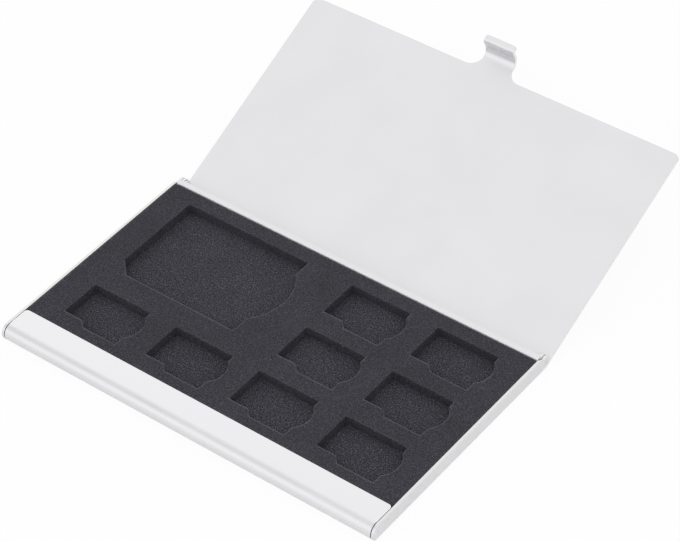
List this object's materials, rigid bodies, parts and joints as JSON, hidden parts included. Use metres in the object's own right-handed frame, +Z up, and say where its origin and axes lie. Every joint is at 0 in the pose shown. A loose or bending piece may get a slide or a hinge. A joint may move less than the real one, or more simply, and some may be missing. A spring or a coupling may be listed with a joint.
{
  "type": "memory card case",
  "caption": "Slim aluminium case for memory cards, with a slotted foam lining, a full-width hinged lid and a snap tab over a rounded nose.",
  "frame": {"origin": "middle of the tray's flat underside, on the surface the case rests on", "axes": "+X across the case to the right as seen from the nose, +Y from the nose to the hinge, +Z up out of the open tray"},
  "size_m": [0.095, 0.1085, 0.0279],
  "materials": {
    "satin_aluminium": "satin, fine-grained",
    "pin_steel": "plain ground steel",
    "charcoal_foam": "matte, closed-cell foam",
    "black_foam": "matte, closed-cell foam",
    "adhesive_film": "matte film"
  },
  "bodies": {
    "tray_assembly": {"base_tray": "satin_aluminium", "hinge_pin_left": "pin_steel", "hinge_pin_right": "pin_steel", "foam_insert": "charcoal_foam", "foam_backing": "black_foam", "adhesive_sheet": "adhesive_film"},
    "lid_assembly": {"lid": "satin_aluminium"}
  },
  "joints": [
    {"name": "lid_hinge", "type": "hinge", "parent": "tray_assembly", "child": "lid_assembly", "pos_m": [0, 0.02804, 0.0024], "axis": [-1, 0, 0], "range_deg": [-156.2, 23.8]}
  ]
}
